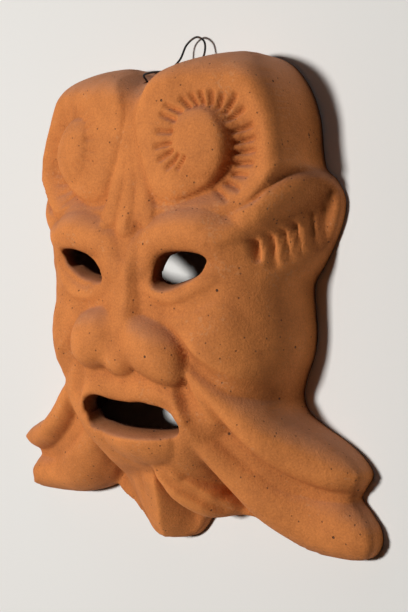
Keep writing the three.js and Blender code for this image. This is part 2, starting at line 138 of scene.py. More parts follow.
# The nose's wings and septum: middle, half widths, the level each stands on, its rise, lean and squareness.
NOSE_BULB_RIGHT = dict(x=16, y=-26.8, rx=18, ry=13.8, base=45, rise=13.5, lean=-0.32, square=2.5)
NOSE_BULB_LEFT = dict(x=-16.8, y=-23.2, rx=17, ry=14.2, base=45, rise=13.5, lean=0.12, square=2.2)
NOSE_SEPTUM = dict(x=-3, y=-30.5, rx=11, ry=9.5, base=46, rise=9, lean=0, square=2)
BULB_SIDE_FALL = 12
MOUTH_GROOVE = (
    (31, -28, 3, 3, 0.5), (29.5, -38, 5, 3.5, 3.5), (32, -47, 6, 4, 4), (37, -56, 6, 5, 2.5),
    (42, -66, 6, 5, 0.5),
)
CHIN_PAD = dict(x=4.5, y=-66, rx=21, ry=14.4, rise=6, power=0.75)
UPPER_LIP = ((0, -46, 5, 5, 0.8), (14, -44.5, 6, 6, 1.6), (25, -48, 4, 4, 1.4), (31, -56, 3.5, 3.5, 1))

MOUSTACHE_UPPER = (
    (29.5, -27, 6, 5, 46), (35.5, -36.5, 9, 6.5, 47), (44, -45.5, 12, 9, 45.5), (55, -56.5, 15, 11.5, 41),
    (68, -67.5, 17, 13, 33), (82, -74, 17, 12, 24), (97, -77.5, 14, 9.5, 15),
)
MOUSTACHE_LOWER = (
    (26, -58, 14, 12, 43), (36, -68, 16, 13, 40), (46, -79, 18, 15, 33.5), (58, -90, 20, 16, 26.5),
    (73, -97, 20, 17, 20.5), (89, -100.5, 18, 16, 16.5), (104, -103.5, 15, 13, 12.5),
)
MOUSTACHE_LOWER_POWER = 0.6
# A low broad roll under both lobes.
MOUSTACHE_ROOT = (
    (26, -40, 20, 20, 40), (40, -58, 26, 22, 37), (56, -74, 30, 26, 28), (76, -86, 32, 28, 17),
    (100, -90, 34, 34, 8),
)
MOUSTACHE_ROOT_POWER = 0.3
# The left moustache is lower near its root, against distance from the middle.
LEFT_LOBE_SHARE = ((20, 0.86), (50, 0.86), (75, 0.94), (98, 1))
LEFT_GROOVE_SHARE = 0.3

# The pointed tuft in the middle, with two shallow strands down its left side.
BEARD_TUFT = (
    (5, -80, 9, 38, 33), (4, -88, 12, 50, 32), (2.5, -95, 14, 54, 28.5), (0, -103, 13, 47, 24),
    (-2.5, -110, 13, 36, 20.5), (-4.5, -116, 12, 25, 16),
)
BEARD_TUFT_BEND = (1.15, 1.7)
BEARD_STRANDS = ((-12, -78, -27, -99), (-5, -80, -14, -108))
BEARD_STRAND = dict(inner=3, outer=4, depth=1)
# The fan of locks beside the tuft and the crease along its middle.
BEARD_FAN = (
    (10, -78, 8, 8, 38), (13.5, -82.7, 11.2, 10.5, 37.5), (16.4, -87.9, 11.3, 10.8, 34.5),
    (19.5, -90.8, 12.2, 11.6, 32), (22.8, -93.9, 12.2, 12, 28.5), (26.8, -97.9, 11.5, 11.3, 23.5),
    (30.5, -100.6, 10, 9.5, 17), (34, -103.5, 8, 8, 9),
)
BEARD_FAN_BEND = 3.5
BEARD_CREASE = (
    (10, -80, 3, 3, 0), (14.2, -85, 3.5, 3, 1.6), (20.6, -90, 4, 3, 2.4), (26, -94, 4, 3, 2.6),
    (31, -98.5, 3.5, 3, 2),
)
BEARD_CREASE_BEND = 1.4

# No groove goes below this height.
LOWEST = 7
# Width of the fillet where each form meets what lies under it.
FILLET = dict(horn=2.5, nose=4, lobes=0.8, moustache=2, fan=2.5, tuft=3, lowest=5)

# The leaf of three lobes between the horns.
LEAF_MIDDLE = (
    (0, 27.5, 5.6, 5.6, 2.4), (0, 40, 4.4, 4.4, 2), (0, 54, 2.9, 2.9, 1.3), (0, 66, 2, 2, 0.6),
    (0, 76, 1.5, 1.5, 0.2),
)
LEAF_SIDE = (
    (10.4, 32.5, 6, 6, 2.3), (8.2, 43, 4.6, 4.6, 1.9), (4.9, 55, 3.2, 3.2, 1.2), (2.6, 67, 2.2, 2.2, 0.5),
    (1, 78, 1.5, 1.5, 0.2),
)

# The ear: a slope that falls outwards and where it sets in, a rolled upper edge, and cuts from top to bottom.
EAR = dict(x=59, height=38, fall=1, across=(57, 63), top=(46, 52), bottom=(-6, 8))
EAR_ROLL = (
    (50, 21, 7, 4, 1), (57, 25, 8.5, 4.5, 3), (63, 30.5, 9, 4.5, 6), (68.5, 36.5, 8.5, 4.5, 8.5),
    (73, 42.5, 8, 4.5, 9.5), (76, 47, 6.5, 4.5, 8.5), (79.5, 47, 4.5, 4.5, 6),
)
EAR_CUTS = (
    (60.2, 22.3, 61.8, 11.5), (64.4, 25.3, 66.2, 9), (67.3, 27.6, 69.5, 11.8), (70, 30.8, 71.8, 14.4),
    (73.4, 35.6, 74.6, 17), (76.5, 38, 77.6, 20.3), (80, 38, 80.6, 26.8),
)
EAR_CUT = dict(inner=2, outer=2, depth=4.6)

# The horn: a ram's scroll that falls outwards, flatter above a height, with a boss on its inner coil.
HORN = dict(x=39.5, y=62, height=46.3, fall_x=0.28, fall_y=0.02)
HORN_SOFTER = dict(above=50.5, share=0.5)
HORN_BOSS = dict(rise=4.2, radius=15)
# Radius of the inner coil's edge and height of its step, against degrees clockwise from the viewer's right.
COIL_EDGE = (
    (-90, 14.6), (-71, 13), (-53, 11.3), (-20, 10.4), (15, 10.6), (45, 12.5), (67, 14.7), (89, 18.3),
    (104, 22.2), (116, 26.6), (133, 35), (150, 42), (165, 24), (180, 12.4), (195, 12.8), (212, 14.6),
    (233, 16.2), (250, 15.6), (270, 14.6),
)
COIL_STEP = (
    (-90, 1.5), (-71, 2.2), (-45, 3.8), (-20, 5.2), (15, 6), (45, 6.4), (70, 6.6), (116, 7), (133, 7),
    (150, 3), (158, 0), (178, 0), (205, 0.8), (240, 1.4), (270, 1.5),
)
# The step is a rounded shoulder inside the edge and a steep fall across it, and it levels out further away.
COIL_SHOULDER = dict(reach=5, share=0.3)
COIL_FALL = dict(span=(-0.7, 1), share=0.7)
COIL_LEVELS = dict(span=(16, 30), share=0.85)
# The horn's lower edge, its rounding, where across the face that ends, and how the horn falls away below.
HORN_FOOT = ((0, 34), (17, 34.5), (30, 35.5), (42, 36.5), (52, 33), (60, 37), (66, 44), (70, 51), (74, 56))
HORN_FOOT_ROUND, HORN_FOOT_DROP = 14, 8
HORN_FOOT_END = (36, 48)
BELOW_FOOT = dict(start=1, fall=2.2, power=1.2)
# The horn's edge towards the leaf, and against Y how wide it is rounded and how steeply it falls away inside.
HORN_INNER_EDGE = (
    (18, 33), (12.5, 45), (9, 54), (6.3, 63), (4.6, 70), (4.3, 76), (6, 82), (9, 87.5), (12.5, 92.5),
    (15, 97), (17, 103),
)
HORN_INNER_STEPS = 4
HORN_INNER_ROUND = ((33, 9), (50, 9), (66, 10), (80, 13), (104, 15))
HORN_INNER_FALL = ((40, 1.5), (60, 1.2), (78, 0.9), (86, 1.2), (94, 2.4), (104, 2.6))
HORN_INNER_DROP = 3.6
HORN_CROWN = dict(start=83, over=22, drop=25, power=2.8, right_higher=1.2, most=1.2)
# The left horn's inner side is a broader and deeper slope than the right one's.
LEFT_INNER = dict(round=2.1, drop=1.7)
# Strokes round the coil, each from its inner to its outer end. They are fainter on the left.
STROKES = (
    (34, 56.6, 28.3, 50.7), (31.3, 57.9, 22.8, 50.8), (28.1, 59.7, 18.6, 54.8), (27.2, 62.3, 16.6, 60.8),
    (26.6, 67, 17.4, 67.7), (27.4, 71.6, 19.1, 75.3), (29.8, 75, 21, 79), (33.4, 76.6, 28, 82),
    (36, 77.3, 32.3, 83.6), (38.7, 77.2, 36.8, 84.7), (41.8, 77.5, 42.1, 84.4), (44.4, 75.8, 47, 83.4),
    (46.6, 73.6, 53.2, 83), (47.3, 71, 56.2, 76.8), (49.2, 66.4, 59.7, 69.8), (50, 61.9, 60.6, 64.4),
    (50, 57.9, 60.7, 58.9), (49.7, 53.3, 60, 53.5), (48.3, 49.3, 58.4, 48), (45.2, 46, 56, 41.8),
    (40.8, 43.3, 50.8, 36.8),
)
STROKE = dict(inner=1.2, outer=1.9, depth=3.4)
LEFT_STROKE_SHARE = 0.25

# A straight cut deepens over this share of its length and fades along this power towards its end.
CUT_START = (-0.02, 0.16)
CUT_END_POWER = 2.4

# Openings, their rounded lips and the holes for the wire
EYE_RIGHT = (
    (15.4, 4.2), (16.8, 1), (20.8, -0.6), (26.5, 0.2), (31, 1.7), (35.5, 3.6), (40.5, 6.3), (42.6, 9.4),
    (43.4, 12.6), (40.8, 14.9), (33.6, 16), (25.3, 15.8), (19.2, 13.8), (16.4, 9.8),
)
EYE_LEFT = (
    (-14.6, 2.8), (-18.7, 9.7), (-25.1, 14.2), (-31.5, 16.4), (-37, 17.1), (-42.2, 16.7), (-43.4, 14.8),
    (-40.5, 10.6), (-34.8, 7.1), (-28.3, 4), (-21.6, 2.7), (-17.4, 2.2),
)
MOUTH = (
    (0, -51.3), (7, -50.7), (13, -51.4), (19, -52.2), (23.6, -54), (26.6, -56.7), (28.3, -60.1),
    (27.8, -62.6), (26, -64), (19.2, -65.6), (7.4, -66.2), (-4.8, -66.2), (-17.3, -65.7), (-25.1, -64.5),
    (-28, -59.7), (-29.3, -55.1), (-27.4, -51.7), (-21, -49.6), (-11.4, -51),
)
OPENING_STEPS = 6
LIP_ROUND = 1.6
LIP_DROP = 0.8
# How far the lower faces of the eyes and the mouth rise towards the back, over what distance the hollow
# follows, and how far below an opening's middle that sets in.
CUT_LIFT = (2.6, 2.6, 3.8)
CUT_REACH = 9
CUT_MIDDLE = 3
# A place this close to an opening is on its edge.
ON_EDGE = 0.01
WIRE_HOLE = dict(x=5.5, y=93.5, z=31, lean=40, radius=1.8, length=44, sides=28)

# Wire: half of the hoop, from its crown beyond the head to the end bent over inside the shell.
WIRE_RADIUS = 0.5
WIRE = (
    (0, 118, 4), (5.5, 114.8, 4.6), (7.2, 107.4, 7.5), (7.3, 101.4, 15.5), (6.6, 98.8, 27),
    (5.7, 96.4, 33.8), (5.5, 94, 32), (5.5, 90, 26.8), (5.5, 85.5, 21.4), (5.8, 82, 17.4), (8, 79.8, 15.8),
    (12, 79.4, 16.6),
)
WIRE_SIDES = 20
WIRE_STEPS = 14
# How far the middle of a tube's end stands out, in shares of its radius.
TUBE_END = 0.3

# Fine surface: the grid's cell and bounds, the share of an edge within which a corner moves onto the outline,
# how far outside the clay a triangle is dropped, and the rows of faces down each wall.
CELL = 0.9
AREA = (-114, 112, -122, 112)
SNAP = 0.32
FAR_OUT = 3 * CELL
WALL_ROWS = 7
# The coarse grid for the smoothed front, the smoothing's reach in its cells, and the height of full relief.
RELIEF_CELL = 1.5
RELIEF_REACH = 3
FULL_RELIEF = 2.5
# Unevenness of the pressed clay, as height and wavelength.
SEED = 11
FRONT_WAVES = ((0.3, 26), (0.05, 7))
HOLLOW_WAVE = (0.7, 24)
WAVES = 14
WAVE_STRETCH = (0.7, 1.5)

# Finish
# Ends of the clay's tone: random blotches and grain mix them, and so does painted light and shade from relief.
DARK_CLAY = (0.36, 0.108, 0.026, 1)
LIGHT_CLAY = (0.80, 0.272, 0.068, 1)
# Painted mauve skylight: the clay takes this colour where it faces the horns' end, in place of cool light from
# above.
PAINTED_MAUVE_SKYLIGHT = (0.40, 0.215, 0.15, 1)
PALE_GRIT = (0.66, 0.36, 0.18, 1)
# Painted shade inside the pits.
PAINTED_PIT_SHADE = (0.055, 0.03, 0.02, 1)
# Painted shade: the hollow and the walls of the openings turn this near black.
PAINTED_HOLLOW_SHADE = (0.085, 0.034, 0.021, 1)
# Pits: distance between their cells, the share of cells that hold one, and their radius in shares of a cell.
LARGE_PITS = dict(size_mm=7.0, share=0.17, radius=0.10)
SMALL_PITS = dict(size_mm=2.6, share=0.21, radius=0.19)
IRON = (0.035, 0.032, 0.032, 1)
RUST = (0.11, 0.05, 0.025, 1)
FLOOR_GREY = (0.76, 0.745, 0.72, 1)
FLOOR_WHITE = (0.80, 0.79, 0.77, 1)

# Stage, in metres. The floor lies just under the rim.
FLOOR_HALF = 2.5
FLOOR_LEVEL = -0.0002
CAMERA_PLACE = (0.3498, 0.0067, 0.4217)
YAW, PITCH, ROLL = (math.radians(angle) for angle in (39.29, 1.6, 1.23))
FOCAL_PIXELS, PICTURE_HEIGHT = 1150, 612
SENSOR = 36
WORLD_TINT = (1.0, 0.82, 0.66, 1)
WORLD_STRENGTH = 0.014


def smooth(start, end, t):
    """Rises from 0 at start to 1 at end along 3u^2 - 2u^3."""
    u = np.clip((t - start) / (end - start), 0, 1)
    return u * u * (3 - 2 * u)


def rounded(u):
    """Fall of a quarter ellipse from its level top at u = 0 to its upright end at u = 1."""
    return 1 - np.sqrt(1 - u * u)


def table(t, rows):
    """Cubic pieces through rows of (t, value), with each row's slope taken from its neighbours."""
    places, values = np.array(rows, float).T
    slopes = np.empty(len(places))
    slopes[1:-1] = (values[2:] - values[:-2]) / (places[2:] - places[:-2])
    slopes[0] = (values[1] - values[0]) / (places[1] - places[0])
    slopes[-1] = (values[-1] - values[-2]) / (places[-1] - places[-2])
    t = np.clip(t, places[0], places[-1])
    k = np.clip(np.searchsorted(places, t, side="right") - 1, 0, len(places) - 2)
    span = places[k + 1] - places[k]
    u = (t - places[k]) / span
    bend = slopes[k] * (u**3 - 2 * u**2 + u) + slopes[k + 1] * (u**3 - u**2)
    return values[k] * (2 * u**3 - 3 * u**2 + 1) + values[k + 1] * (3 * u**2 - 2 * u**3) + span * bend


def curve(rows, steps, closed=False):
    """Catmull-Rom curve through rows: cubics whose slope at each row is half the chord of its neighbours."""
    p = np.array(rows, float)
    if closed:
        padded = np.concatenate([p[-1:], p, p[:2]])
    else:
        padded = np.concatenate([2 * p[:1] - p[1:2], p, 2 * p[-1:] - p[-2:-1]])
    before, here, after, beyond = (padded[k:len(padded) - 3 + k, None] for k in range(4))
    u = (np.arange(steps) / steps)[None, :, None]
    leave, arrive = (after - before) / 2, (beyond - here) / 2
    cubic = 2 * here - 2 * after + leave + arrive
    square = 3 * after - 3 * here - 2 * leave - arrive
    places = (cubic * u**3 + square * u**2 + leave * u + here).reshape(-1, p.shape[1])
    return places if closed else np.concatenate([places, p[-1:]])


def nearest(x, y, path, closed=False):
    """Signed side (left is positive), distance, and the path's columns at the nearest point of a path."""
    nearest_distance = np.full(x.shape, np.inf)
    side = np.zeros(x.shape)
    columns = np.zeros((path.shape[1],) + x.shape)
    ends = np.roll(path, -1, axis=0) if closed else path[1:]
    for a, b in zip(path, ends):
        edge = b - a
        share = np.clip(((x - a[0]) * edge[0] + (y - a[1]) * edge[1]) / (edge[0] ** 2 + edge[1] ** 2), 0, 1)
        dx, dy = x - a[0] - share * edge[0], y - a[1] - share * edge[1]
        distance = np.hypot(dx, dy)
        closer = distance < nearest_distance
        nearest_distance = np.where(closer, distance, nearest_distance)
        side = np.where(closer, np.sign(edge[0] * dy - edge[1] * dx), side)
        for k in range(path.shape[1]):
            columns[k] = np.where(closer, a[k] + share * edge[k], columns[k])
    return side, nearest_distance, columns


def roll(x, y, rows, power=1.0, bend=2.0):
    """Roll of clay along its stations: height (1 - u^bend)^power, where u is the distance from the middle line
    over the half width of that side. A pair of bends is one for each side, left and right."""
    side, distance, (_, _, left, right, height) = nearest(x, y, curve(rows, ROLL_STEPS))
    u = np.clip(distance / np.where(side > 0, left, right), 0, 1)
    bend = np.where(side > 0, *bend) if isinstance(bend, tuple) else bend
    return height * (1 - u**bend) ** power


def v_cuts(x, y, cuts, inner, outer, depth):
    """Depth of straight cuts: each a V across, its half width going from inner to outer, fading at both ends."""
    deepest = np.zeros(x.shape)
    for ax, ay, bx, by in cuts:
        length = math.hypot(bx - ax, by - ay)
        ux, uy = (bx - ax) / length, (by - ay) / length
        along = ((x - ax) * ux + (y - ay) * uy) / length
        off = (y - ay) * ux - (x - ax) * uy
        fade = np.sqrt(np.clip(1 - np.maximum(along, 0) ** CUT_END_POWER, 0, 1))
        width = inner + (outer - inner) * np.clip(along, 0, 1)
        across = np.clip(1 - np.abs(off) / width, 0, 1)
        deepest = np.maximum(deepest, depth * (smooth(*CUT_START, along) * fade) * across)
    return deepest


def blend(a, b, width):
    """The higher of two surfaces, raised by (width - gap)^2 / 4 width where they are closer than width."""
    share = np.maximum(width - np.abs(a - b), 0) / width
    return np.maximum(a, b) + share * share * width / 4


def bulb(x, y, size):
    """Half of a squared ellipsoid on a base, its middle line leaning with X, and a cone down from its edge."""
    u, v = (x - size["x"]) / size["rx"], (y - size["y"] - size["lean"] * (x - size["x"])) / size["ry"]
    q = (np.abs(u) ** size["square"] + np.abs(v) ** size["square"]) ** (1 / size["square"])
    rise = size["base"] + size["rise"] * np.sqrt(np.clip(1 - q * q, 0, 1))
    return np.where(q < 1, rise, size["base"] - BULB_SIDE_FALL * (q - 1) * size["rx"])


def to_mirrored(mask_x, mask_y):
    """The place on the right half that a place of the mask repeats: the left side is drawn in or out by
    LEFT_REACH, and its moustache is stretched away from the squeeze's level."""
    outer = -mask_x
    x = np.abs(mask_x) - table(mask_y, LEFT_REACH) * smooth(*LEFT_REACH_SPAN, outer)
    share = smooth(*SQUEEZE["across"], outer) * (1 - smooth(*SQUEEZE["up"], mask_y))
    factor = np.where(mask_y < SQUEEZE["level"], SQUEEZE["lower_factor"], SQUEEZE["factor"])
    return x, mask_y + share * (factor - 1) * (mask_y - SQUEEZE["level"])


def to_left(x, y):
    """The opposite of to_mirrored on the left side, found by going towards it step by step."""
    mask_x, mask_y = -x, y
    for _ in range(RETURN_STEPS):
        there_x, there_y = to_mirrored(mask_x, mask_y)
        mask_x, mask_y = mask_x + RETURN_SHARE * (there_x - x), mask_y + RETURN_SHARE * (y - there_y)
    return mask_x, mask_y


def bare_face(x, y, left):
    """The middle line's height less a power of the distance from it, and lower where the horn covers it."""
    u = np.clip(x / table(y, FACE_HALF_WIDTH), 0, FACE_FALL_END)
    z = table(y, FACE_HEIGHT) * (1 - FACE_FALL * u ** np.where(left, FACE_FALL_POWER_LEFT, FACE_FALL_POWER))
    clear = 1 - smooth(*EAR_CORNER["across"], x) * (1 - smooth(*EAR_CORNER["up"], y))
    for covered in (UNDER_HORN, UNDER_COIL):
        z = z - covered["drop"] * smooth(*covered["across"], x) * smooth(*covered["up"], y) * clear
    return z


def with_ear(z, x, y):
    """The lower of the face and the ear's slope, plus the roll of its upper edge, less its cuts."""
    share = smooth(*EAR["across"], x) * (1 - smooth(*EAR["top"], y)) * smooth(*EAR["bottom"], y)
    z = z + share * (np.minimum(EAR["height"] - EAR["fall"] * (x - EAR["x"]), z) - z)
    return z + roll(x, y, EAR_ROLL) - v_cuts(x, y, EAR_CUTS, **EAR_CUT)


def coil_step(radius, clockwise):
    """How far the scroll lies below its inner coil: a quarter ellipse and a steep fall, times its height."""
    past = radius - table(clockwise, COIL_EDGE)
    shoulder = np.clip(1 + past / COIL_SHOULDER["reach"], 0, 1)
    step = COIL_SHOULDER["share"] * rounded(shoulder) + COIL_FALL["share"] * smooth(*COIL_FALL["span"], past)
    levels = 1 - COIL_LEVELS["share"] * smooth(*COIL_LEVELS["span"], radius)
    return table(clockwise, COIL_STEP) * step * levels


def horn(x, y, left):
    """A leaning plane with a boss, a step down outside the coil, and a rounded inner edge, crown and foot."""
    dx, dy = x - HORN["x"], y - HORN["y"]
    radius = np.hypot(dx, dy)
    clockwise = -np.degrees(np.arctan2(dy, dx))
    clockwise = np.where(clockwise < -90, clockwise + 360, clockwise)
    z = HORN["height"] - HORN["fall_x"] * dx - HORN["fall_y"] * dy
    z = z - HORN_SOFTER["share"] * np.maximum(z - HORN_SOFTER["above"], 0)
    z = z + HORN_BOSS["rise"] * np.clip(1 - (radius / HORN_BOSS["radius"]) ** 2, 0, 1)
    z = z - coil_step(radius, clockwise)
    above = y - table(x, HORN_FOOT)
    foot = np.clip(1 - above / HORN_FOOT_ROUND, 0, 1) * (1 - smooth(*HORN_FOOT_END, x))
    below = np.maximum(BELOW_FOOT["start"] - above, 0) ** BELOW_FOOT["power"]
    z = z - HORN_FOOT_DROP * rounded(foot) - BELOW_FOOT["fall"] * below
    side, distance, _ = nearest(x, y, curve(HORN_INNER_EDGE, HORN_INNER_STEPS))
    inside = np.where(side < 0, distance, -distance)
    edge = np.clip(1 - inside / (table(y, HORN_INNER_ROUND) * np.where(left, LEFT_INNER["round"], 1)), 0, 1)
    drop = HORN_INNER_DROP * np.where(left, LEFT_INNER["drop"], 1)
    z = z - drop * rounded(edge) - table(y, HORN_INNER_FALL) * np.maximum(-inside, 0)
    start = HORN_CROWN["start"] + HORN_CROWN["right_higher"] * np.where(left, -1, 1)
    over = np.clip((y - start) / HORN_CROWN["over"], 0, HORN_CROWN["most"])
    return z - HORN_CROWN["drop"] * over ** HORN_CROWN["power"]


def with_horn(z, x, y, left):
    """The horn less its strokes, filleted to the face."""
    strokes = v_cuts(x, y, STROKES, **STROKE) * np.where(left, LEFT_STROKE_SHARE, 1)
    return blend(z, horn(x, y, left) - strokes, FILLET["horn"])


def with_nose(z, mask_x, y):
    """The two wings and the septum between them, filleted to the face."""
    z = blend(z, bulb(mask_x, y, NOSE_SEPTUM), FILLET["nose"])
    wings = np.maximum(bulb(mask_x, y, NOSE_BULB_RIGHT), bulb(mask_x, y, NOSE_BULB_LEFT))
    return blend(z, wings, FILLET["nose"])


def chin(mask_x, y):
    """A pad: rise (1 - q)^power, where q is the sum of the squares of x and y over its half widths."""
    q = ((mask_x - CHIN_PAD["x"]) / CHIN_PAD["rx"]) ** 2 + ((y - CHIN_PAD["y"]) / CHIN_PAD["ry"]) ** 2
    return CHIN_PAD["rise"] * np.clip(1 - q, 0, 1) ** CHIN_PAD["power"]


def with_moustache(z, x, y, left):
    """Two lobes filleted together and a broad root under both, lower on the left, filleted to the face."""
    share = np.where(left, table(x, LEFT_LOBE_SHARE), 1)
    lower = roll(x, y, MOUSTACHE_LOWER, power=MOUSTACHE_LOWER_POWER)
    lobes = blend(roll(x, y, MOUSTACHE_UPPER, power=HALF_ROUND), lower, FILLET["lobes"])
    root = roll(x, y, MOUSTACHE_ROOT, power=MOUSTACHE_ROOT_POWER)
    return blend(z, np.maximum(lobes * share, root * share), FILLET["moustache"])


def with_beard(z, mask_x, x, y, left):
    """The creased fan on the right, then the tuft with its strands, each filleted to what is there."""
    crease = roll(x, y, BEARD_CREASE, bend=BEARD_CREASE_BEND)
    fan = roll(x, y, BEARD_FAN, power=HALF_ROUND, bend=BEARD_FAN_BEND) - crease
    z = blend(z, np.where(left, 0, fan), FILLET["fan"])
    strands = v_cuts(mask_x, y, BEARD_STRANDS, **BEARD_STRAND)
    return blend(z, roll(mask_x, y, BEARD_TUFT, bend=BEARD_TUFT_BEND) - strands, FILLET["tuft"])


def front(mask_x, mask_y):
    """The face before its edge is rounded, form by form. The left repeats the right but for what is named."""
    left = mask_x < 0
    x, y = to_mirrored(mask_x, mask_y)
    z = with_ear(bare_face(x, y, left), x, y)
    z = z + roll(x, y, BROW)
    z = z + np.maximum(roll(x, y, LEAF_MIDDLE, power=HALF_ROUND), roll(x, y, LEAF_SIDE, power=HALF_ROUND))
    z = with_horn(z, x, y, left)
    z = z + roll(x, y, LOWER_LID) - roll(x, y, LID_CREASE) + roll(x, y, CHEEK)
    z = z + roll(mask_x, y, NOSE_BRIDGE, power=BELL)
    folds = roll(x, y, MOUTH_GROOVE) + roll(x, y, CHEEK_FOLD, bend=CHEEK_FOLD_BEND)
    z = z - folds * np.where(left, LEFT_GROOVE_SHARE, 1)
    z = with_nose(z, mask_x, y)
    z = z + chin(mask_x, y) + roll(x, y, UPPER_LIP)
    z = with_moustache(z, x, y, left)
    z = with_beard(z, mask_x, x, y, left)
    return blend(z, LOWEST, FILLET["lowest"])


def rim_outline():
    """The outline as one closed curve: the right half, the left beard, and places that repeat the right."""
    right = np.array(RIM, float)
    left = np.stack(to_left(*right[RIM_REPEATED:0:-1].T), 1)
    return curve(np.concatenate([right, RIM_LEFT_BEARD, left]), RIM_STEPS, closed=True)


def is_inside(x, y, outline):
    """Counts the outline's edges to the right of each point: an odd count is inside."""
    inside = np.zeros(x.shape, bool)
    for (ax, ay), (bx, by) in zip(outline, np.roll(outline, -1, axis=0)):
        if ay != by:
            inside ^= ((ay > y) != (by > y)) & (x < ax + (y - ay) * (bx - ax) / (by - ay))
    return inside


def depth_in(x, y, outline):
    """Distance from an outline, positive inside it."""
    _, distance, _ = nearest(x, y, outline, closed=True)
    return np.where(is_inside(x, y, outline), distance, -distance)


def edge_rounding(depth):
    """Share of the front's height at a depth inside the rim: EDGE_SHARE at the edge, 1 from EDGE_ROUND on."""
    u = np.clip(1 - depth / EDGE_ROUND, 0, 1)
    return EDGE_SHARE + (1 - EDGE_SHARE) * (1 - u**EDGE_POWER) ** (1 / EDGE_POWER)


def grid_triangles():
    """Points CELL apart over AREA, and two triangles to each cell, split along either diagonal in turn."""
    x0, x1, y0, y1 = AREA
    nx, ny = math.ceil((x1 - x0) / CELL), math.ceil((y1 - y0) / CELL)
    gx, gy = np.meshgrid(x0 + CELL * np.arange(nx + 1), y0 + CELL * np.arange(ny + 1))
    i, j = np.meshgrid(np.arange(nx), np.arange(ny))
    a = (j * (nx + 1) + i).ravel()
    b, c, d = a + 1, a + nx + 2, a + nx + 1
    odd = ((i + j) % 2).ravel().astype(bool)[:, None]
    triangles = np.concatenate([
        np.where(odd, np.stack([a, b, d], 1), np.stack([a, b, c], 1)),
        np.where(odd, np.stack([b, c, d], 1), np.stack([a, c, d], 1)),
    ])
    return np.stack([gx.ravel(), gy.ravel()], 1), triangles


def directed_edges(triangles):
    """Each triangle's three edges, from corner to next corner."""
    return np.concatenate([triangles[:, [0, 1]], triangles[:, [1, 2]], triangles[:, [2, 0]]])


def crossings(points, level, triangles):
    """The edges that level 0 crosses, the share of each that lies before the crossing, and its place."""
    edges = np.unique(np.sort(directed_edges(triangles), 1), axis=0)
    edges = edges[level[edges[:, 0]] * level[edges[:, 1]] < 0]
    share = level[edges[:, 0]] / (level[edges[:, 0]] - level[edges[:, 1]])
    return edges, share, points[edges[:, 0]] + share[:, None] * (points[edges[:, 1]] - points[edges[:, 0]])


def snap_corners(points, level, triangles):
    """Moves a corner onto its nearest crossing where that is within the share SNAP of an edge."""
    edges, share, places = crossings(points, level, triangles)
    corner = np.concatenate([edges[:, 0], edges[:, 1]])
    share = np.concatenate([share, 1 - share])
    places = np.concatenate([places, places])
    order = np.argsort(share)
    order = order[share[order] < SNAP]
    corner, first = np.unique(corner[order], return_index=True)
    points[corner] = places[order][first]
    level[corner] = 0


def split_crossed(points, level, crossed):
    """The positive part of each triangle that level 0 crosses: one triangle at a single positive corner, two
    beside a single negative one, and a half where the third corner lies on the line. Gives the crossings too."""
    sign = np.sign(level[crossed])
    edges, _, places = crossings(points, level, crossed)
    count = len(points)
    keys = edges[:, 0] * (count + 1) + edges[:, 1]

    def cut(u, v):
        return count + np.searchsorted(keys, np.minimum(u, v) * (count + 1) + np.maximum(u, v))

    def turned(chosen, lead):
        columns = (lead[chosen].argmax(1)[:, None] + np.arange(3)) % 3
        rows = np.arange(chosen.sum())[:, None]
        return crossed[chosen][rows, columns], sign[chosen][rows, columns]

    above, below = (sign > 0).sum(1), (sign < 0).sum(1)
    t, _ = turned((above == 1) & (below == 2), sign > 0)
    made = [np.stack([t[:, 0], cut(t[:, 0], t[:, 1]), cut(t[:, 0], t[:, 2])], 1)]
    t, _ = turned((above == 2) & (below == 1), sign < 0)
    first, second = cut(t[:, 0], t[:, 1]), cut(t[:, 0], t[:, 2])
    made += [np.stack([first, t[:, 1], t[:, 2]], 1), np.stack([first, t[:, 2], second], 1)]
    t, s = turned((above == 1) & (below == 1), sign == 0)
    half = cut(t[:, 1], t[:, 2])
    before, after = np.stack([t[:, 0], t[:, 1], half], 1), np.stack([t[:, 0], half, t[:, 2]], 1)
    made.append(np.where(s[:, 1:2] > 0, before, after))
    return places, made


def triangulate(region, outlines):
    """Triangles over the part of the plane where region is positive: a grid's, with corners snapped and
    triangles split along level 0, and the loose edge laid on the outlines. Gives the points, the triangles and
    the edges that have clay on their left only."""
    points, triangles = grid_triangles()
    level = region(points[:, 0], points[:, 1])
    triangles = triangles[(level[triangles] > -FAR_OUT).all(1)]
    snap_corners(points, level, triangles)
    sign = np.sign(level[triangles])
    whole = (sign >= 0).all(1)
    middle = points[triangles].mean(1)
    whole &= (sign != 0).any(1) | (region(middle[:, 0], middle[:, 1]) > 0)
    places, made = split_crossed(points, level, triangles[(sign > 0).any(1) & (sign < 0).any(1)])
    used, triangles = np.unique(np.concatenate([triangles[whole]] + made), return_inverse=True)
    points, triangles = np.concatenate([points, places])[used], triangles.reshape(-1, 3)

    directed = directed_edges(triangles)
    there = directed[:, 0] * len(points) + directed[:, 1]
    back = directed[:, 1] * len(points) + directed[:, 0]
    loose = directed[~np.isin(there, back)]
    edge = np.unique(loose)
    found = [nearest(*points[edge].T, outline, closed=True) for outline in outlines]
    closest = np.argmin([distance for _, distance, _ in found], axis=0)
    points[edge] = np.array([place for _, _, place in found])[closest, :, np.arange(len(edge))]
    return points, triangles, loose


def blurred(values, reach):
    """Weighted mean over a bell of the given reach in cells, along one axis and then the other."""
    offsets = np.arange(-3 * reach, 3 * reach + 1)
    weights = np.exp(-0.5 * (offsets / reach) ** 2)
    weights /= weights.sum()
    for _ in range(2):
        wide = np.pad(values, ((3 * reach, 3 * reach), (0, 0)), mode="edge")
        values = sum(w * wide[k:k + len(values)] for k, w in enumerate(weights)).T
    return values


